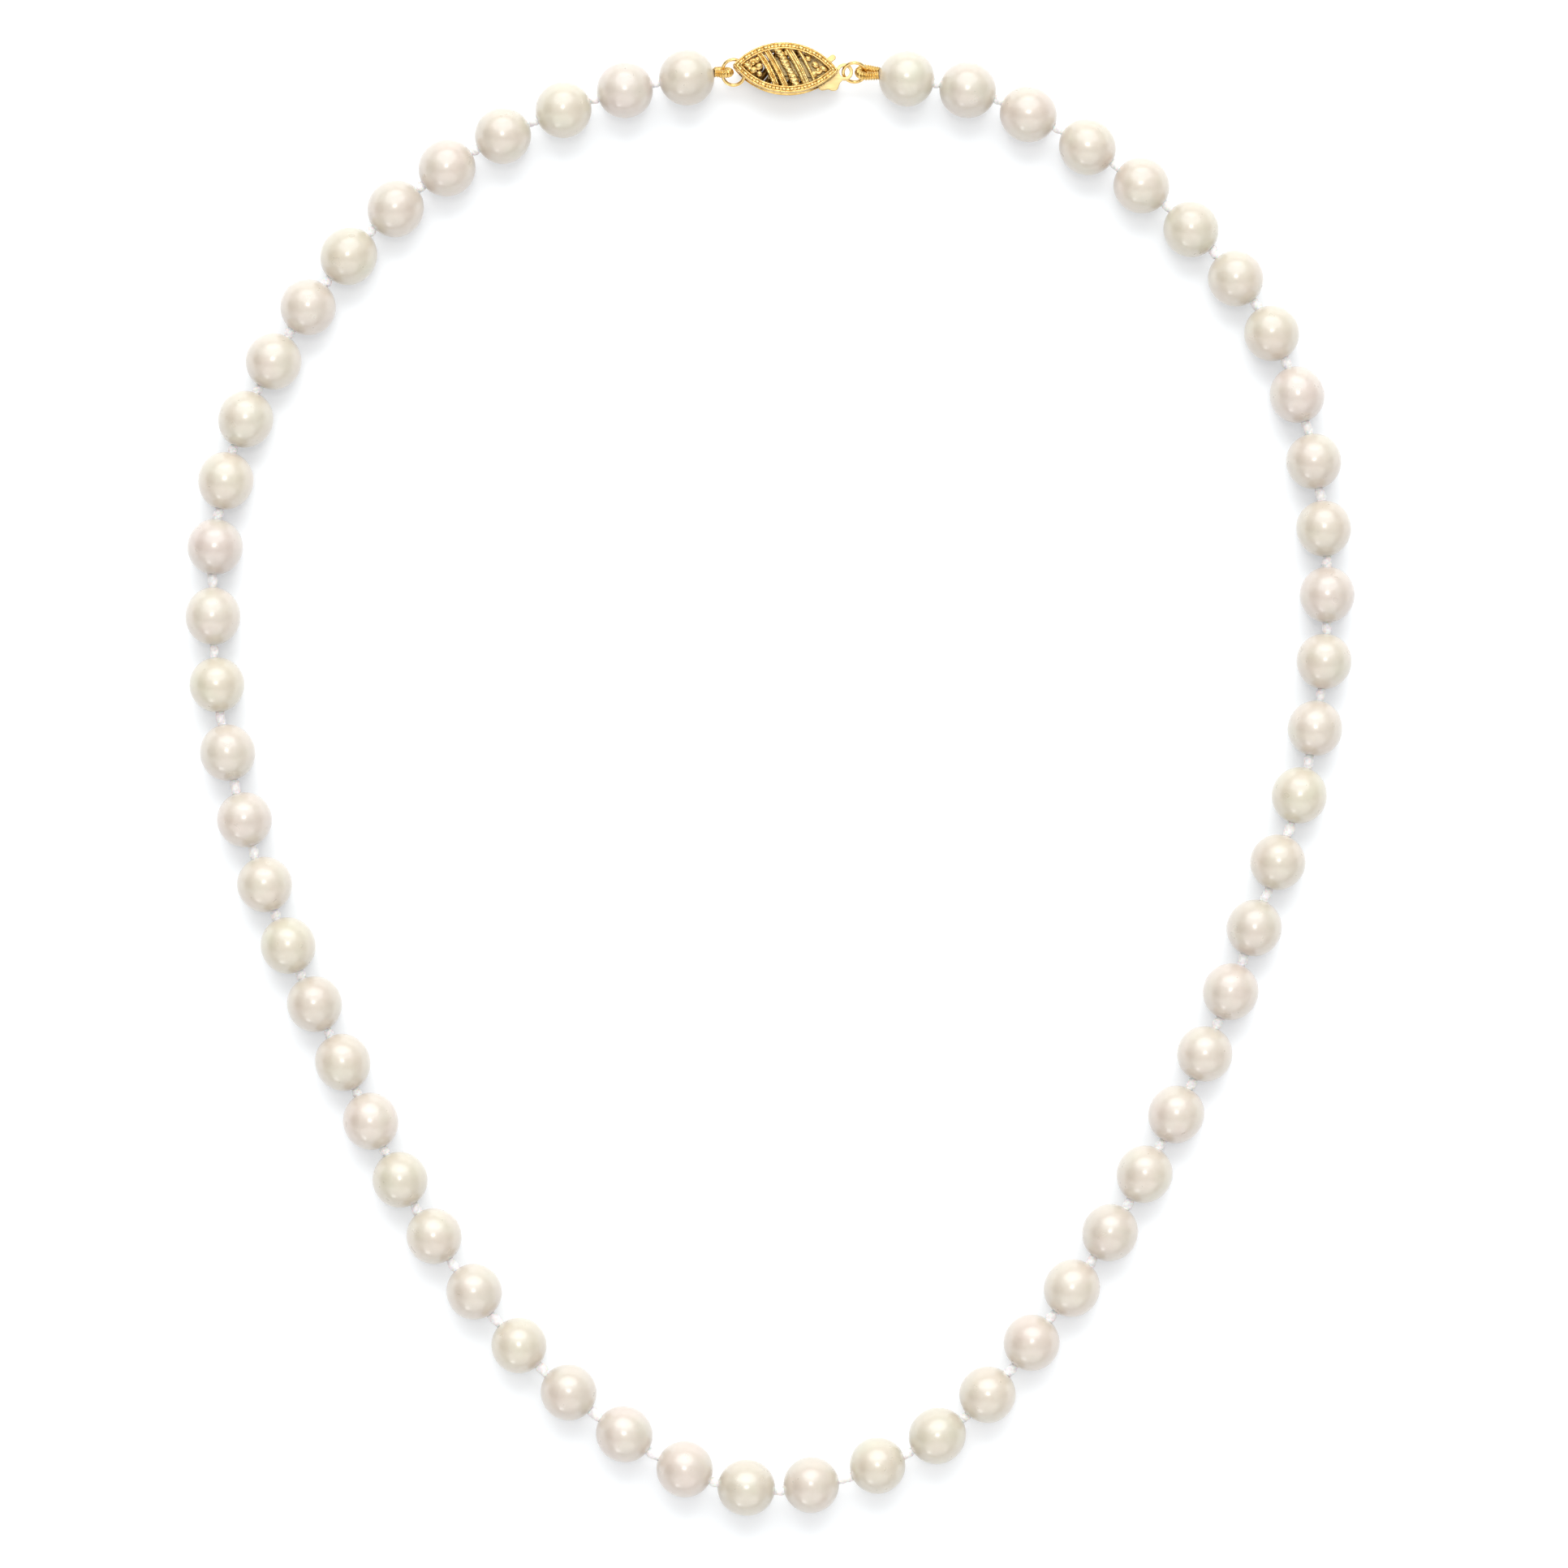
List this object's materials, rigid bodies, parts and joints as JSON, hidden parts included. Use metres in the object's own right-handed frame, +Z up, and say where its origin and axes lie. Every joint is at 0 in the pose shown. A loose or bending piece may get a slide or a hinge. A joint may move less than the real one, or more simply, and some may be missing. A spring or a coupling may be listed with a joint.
{
  "type": "pearl necklace",
  "caption": "Knotted strand of round cream pearls forming a closed loop, joined by a small gold filigree clasp with a spring tongue that unhooks so the necklace can be put on.",
  "frame": {"origin": "middle of the necklace's box, on the surface it lies on", "axes": "+Z up, +Y from the front of the necklace to the clasp, +X to the right seen from above with the clasp at the top"},
  "size_m": [0.1348, 0.1696, 0.0065],
  "materials": {
    "pearl": "cream pearl nacre, soft satin lustre with a faint pink and green overtone",
    "silk": "white silk thread, tightly knotted",
    "gold": "polished yellow gold; brass stands for it because the list has no gold",
    "pale_gold": "smooth rolled yellow gold, paler and flatter than the cast lids"
  },
  "bodies": {
    "front": {"pearls_front": "pearl", "silk_front": "silk"},
    "left_1": {"pearls_left_1": "pearl", "silk_left_1": "silk"},
    "left_2": {"pearls_left_2": "pearl", "silk_left_2": "silk"},
    "left_3": {"pearls_left_3": "pearl", "silk_left_3": "silk"},
    "left_4": {"pearls_left_4": "pearl", "silk_left_4": "silk"},
    "left_5": {"pearls_left_5": "pearl", "silk_left_5": "silk"},
    "left_6": {"pearls_left_6": "pearl", "silk_left_6": "silk"},
    "left_7": {"pearls_left_7": "pearl", "silk_left_7": "silk"},
    "left_8": {"pearls_left_8": "pearl", "silk_left_8": "silk"},
    "left_9": {"pearls_left_9": "pearl", "silk_left_9": "silk", "gimp_left": "gold"},
    "right_1": {"pearls_right_1": "pearl", "silk_right_1": "silk"},
    "right_2": {"pearls_right_2": "pearl", "silk_right_2": "silk"},
    "right_3": {"pearls_right_3": "pearl", "silk_right_3": "silk"},
    "right_4": {"pearls_right_4": "pearl", "silk_right_4": "silk"},
    "right_5": {"pearls_right_5": "pearl", "silk_right_5": "silk"},
    "right_6": {"pearls_right_6": "pearl", "silk_right_6": "silk"},
    "right_7": {"pearls_right_7": "pearl", "silk_right_7": "silk"},
    "right_8": {"pearls_right_8": "pearl", "silk_right_8": "silk"},
    "right_9": {"pearls_right_9": "pearl", "silk_right_9": "silk", "gimp_right": "gold"},
    "clasp_shell": {"jump_ring_left": "gold", "clasp_top_border": "gold", "clasp_top_bars": "gold", "clasp_top_twist": "gold", "clasp_top_scrolls": "gold", "clasp_top_milgrain": "gold", "clasp_back_border": "gold", "clasp_back_bars": "gold", "clasp_back_milgrain": "gold", "clasp_side_wall": "gold", "clasp_ring_pin": "gold", "clasp_catch_bar": "gold"},
    "clasp_hook": {"jump_ring_right": "gold", "clasp_hook": "pale_gold"},
    "clasp_tongue": {"clasp_tongue": "pale_gold"}
  },
  "joints": [
    {"name": "knot_left_1", "type": "hinge", "parent": "front", "child": "left_1", "pos_m": [-0.01347, -0.07765, 0.00325], "axis": [0, 0, 1], "range_deg": [0, 40]},
    {"name": "knot_right_1", "type": "hinge", "parent": "front", "child": "right_1", "pos_m": [0.01597, -0.07759, 0.00325], "axis": [0, 0, -1], "range_deg": [0, 42.97]},
    {"name": "knot_left_2", "type": "hinge", "parent": "left_1", "child": "left_2", "pos_m": [-0.03164, -0.06217, 0.00325], "axis": [1, 0.0062, 0], "range_deg": [-45, 45]},
    {"name": "knot_right_2", "type": "hinge", "parent": "right_1", "child": "right_2", "pos_m": [0.03251, -0.06177, 0.00325], "axis": [1, 0.0062, 0], "range_deg": [-45, 45]},
    {"name": "knot_left_3", "type": "hinge", "parent": "left_2", "child": "left_3", "pos_m": [-0.04441, -0.04275, 0.00325], "axis": [0, 0, 1], "range_deg": [0, 32]},
    {"name": "knot_right_3", "type": "hinge", "parent": "right_2", "child": "right_3", "pos_m": [0.04502, -0.04206, 0.00325], "axis": [0, 0, -1], "range_deg": [0, 34.19]},
    {"name": "knot_left_4", "type": "hinge", "parent": "left_3", "child": "left_4", "pos_m": [-0.05406, -0.02252, 0.00325], "axis": [0.9999, 0.0163, 0], "range_deg": [-45, 45]},
    {"name": "knot_right_4", "type": "hinge", "parent": "right_3", "child": "right_4", "pos_m": [0.05444, -0.02076, 0.00325], "axis": [0.9999, 0.0163, 0], "range_deg": [-45, 45]},
    {"name": "knot_left_5", "type": "hinge", "parent": "left_4", "child": "left_5", "pos_m": [-0.06164, -0.00077, 0.00325], "axis": [0, 0, 1], "range_deg": [0, 32]},
    {"name": "knot_right_5", "type": "hinge", "parent": "right_4", "child": "right_5", "pos_m": [0.06201, 0.00203, 0.00325], "axis": [0, 0, -1], "range_deg": [0, 33.71]},
    {"name": "knot_left_6", "type": "hinge", "parent": "left_5", "child": "left_6", "pos_m": [-0.06423, 0.02285, 0.00325], "axis": [0.9998, 0.0177, 0], "range_deg": [-45, 45]},
    {"name": "knot_right_6", "type": "hinge", "parent": "right_5", "child": "right_6", "pos_m": [0.06414, 0.02512, 0.00325], "axis": [0.9998, 0.0177, 0], "range_deg": [-45, 45]},
    {"name": "knot_left_7", "type": "hinge", "parent": "left_6", "child": "left_7", "pos_m": [-0.05899, 0.04493, 0.00325], "axis": [0, 0, 1], "range_deg": [0, 32]},
    {"name": "knot_right_7", "type": "hinge", "parent": "right_6", "child": "right_7", "pos_m": [0.05949, 0.048, 0.00325], "axis": [0, 0, -1], "range_deg": [0, 33.71]},
    {"name": "knot_left_8", "type": "hinge", "parent": "left_7", "child": "left_8", "pos_m": [-0.04596, 0.06317, 0.00325], "axis": [0.9995, 0.0314, 0], "range_deg": [-45, 45]},
    {"name": "knot_right_8", "type": "hinge", "parent": "right_7", "child": "right_8", "pos_m": [0.04575, 0.06605, 0.00325], "axis": [0.9995, 0.0314, 0], "range_deg": [-45, 45]},
    {"name": "knot_left_9", "type": "hinge", "parent": "left_8", "child": "left_9", "pos_m": [-0.02735, 0.0758, 0.00325], "axis": [0.9989, 0.046, 0], "range_deg": [-45, 45]},
    {"name": "knot_right_9", "type": "hinge", "parent": "right_8", "child": "right_9", "pos_m": [0.02635, 0.07828, 0.00325], "axis": [0.9989, 0.046, 0], "range_deg": [-45, 45]},
    {"name": "clasp_roll", "type": "hinge", "parent": "left_9", "child": "clasp_shell", "pos_m": [-0.00547, 0.08153, 0.0028], "axis": [1, 0, 0], "range_deg": [-25, 25]},
    {"name": "clasp_roll_right", "type": "hinge", "parent": "right_9", "child": "clasp_hook", "pos_m": [0.01103, 0.08153, 0.0028], "axis": [1, 0, 0], "range_deg": [-25, 25]},
    {"name": "tongue_press", "type": "hinge", "parent": "clasp_hook", "child": "clasp_tongue", "pos_m": [0.00058, 0.08192, 0.0034], "axis": [0, 1, 0], "range_deg": [0, 2.2], "stiffness_Nm_per_rad": 0.02}
  ],
  "couplings": [
    {"joint": "knot_right_1", "follows": "knot_left_1", "ratio": 1.074},
    {"joint": "knot_right_2", "follows": "knot_left_2", "ratio": 1},
    {"joint": "knot_right_3", "follows": "knot_left_3", "ratio": 1.068},
    {"joint": "knot_left_4", "follows": "knot_left_2", "ratio": 1},
    {"joint": "knot_right_4", "follows": "knot_left_2", "ratio": 1},
    {"joint": "knot_left_5", "follows": "knot_left_3", "ratio": 1},
    {"joint": "knot_right_5", "follows": "knot_left_3", "ratio": 1.053},
    {"joint": "knot_right_6", "follows": "knot_left_6", "ratio": 1},
    {"joint": "knot_left_7", "follows": "knot_left_3", "ratio": 1},
    {"joint": "knot_right_7", "follows": "knot_left_3", "ratio": 1.053},
    {"joint": "knot_left_8", "follows": "knot_left_6", "ratio": 1},
    {"joint": "knot_right_8", "follows": "knot_left_6", "ratio": 1},
    {"joint": "knot_left_9", "follows": "knot_left_6", "ratio": 1},
    {"joint": "knot_right_9", "follows": "knot_left_6", "ratio": 1},
    {"joint": "clasp_roll_right", "follows": "clasp_roll", "ratio": 1}
  ]
}
